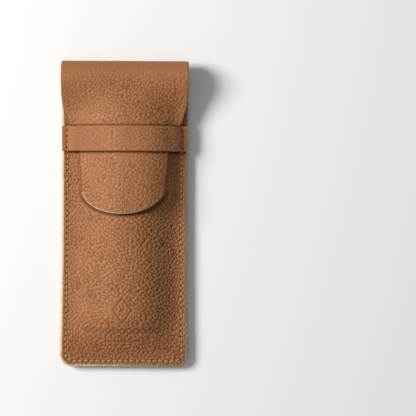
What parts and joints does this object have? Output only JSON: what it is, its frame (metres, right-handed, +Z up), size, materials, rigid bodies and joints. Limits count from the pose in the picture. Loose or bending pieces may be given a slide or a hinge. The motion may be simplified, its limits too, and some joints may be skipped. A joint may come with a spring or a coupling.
{
  "type": "two-pen leather flap case",
  "caption": "Slim lined leather pouch for fountain pens, with a domed front and a fold-over flap whose tongue tucks under a keeper band.",
  "frame": {"origin": "on the table under the middle of the case, at the bottom centre of its box, flap closed", "axes": "+X across the case, +Y along it towards the fold, +Z up, out of the front panel"},
  "size_m": [0.0668, 0.16, 0.0196],
  "materials": {
    "tan_leather": "pebbled full-grain, satin",
    "cream_suede": "napped microsuede, matte",
    "golden_thread": "waxed bonded thread, low sheen"
  },
  "bodies": {
    "case": {"back_panel": "tan_leather", "back_lining": "cream_suede", "front_panel": "tan_leather", "front_lining": "cream_suede", "keeper_band": "tan_leather", "band_lining": "cream_suede", "divider": "cream_suede", "front_seam_thread": "golden_thread", "back_seam_thread": "golden_thread"},
    "spine_lower": {"spine_lower_panel": "tan_leather", "spine_lower_lining": "cream_suede"},
    "spine_upper": {"spine_upper_panel": "tan_leather", "spine_upper_lining": "cream_suede"},
    "flap": {"flap_panel": "tan_leather", "flap_lining": "cream_suede", "flap_tongue": "tan_leather", "tongue_lining": "cream_suede"}
  },
  "joints": [
    {"name": "lower_fold", "type": "hinge", "parent": "case", "child": "spine_lower", "pos_m": [0, 0.07595, 0.00079], "axis": [-1, 0, 0], "range_deg": [0, 60], "deforming": ["flap_tongue", "tongue_lining"]},
    {"name": "middle_fold", "type": "hinge", "parent": "spine_lower", "child": "spine_upper", "pos_m": [0, 0.0804, 0.0085], "axis": [-1, 0, 0], "range_deg": [0, 60]},
    {"name": "upper_fold", "type": "hinge", "parent": "spine_upper", "child": "flap", "pos_m": [0, 0.07595, 0.01621], "axis": [-1, 0, 0], "range_deg": [0, 58]}
  ],
  "couplings": [
    {"joint": "middle_fold", "follows": "lower_fold", "ratio": 1},
    {"joint": "upper_fold", "follows": "lower_fold", "ratio": 0.9666}
  ]
}
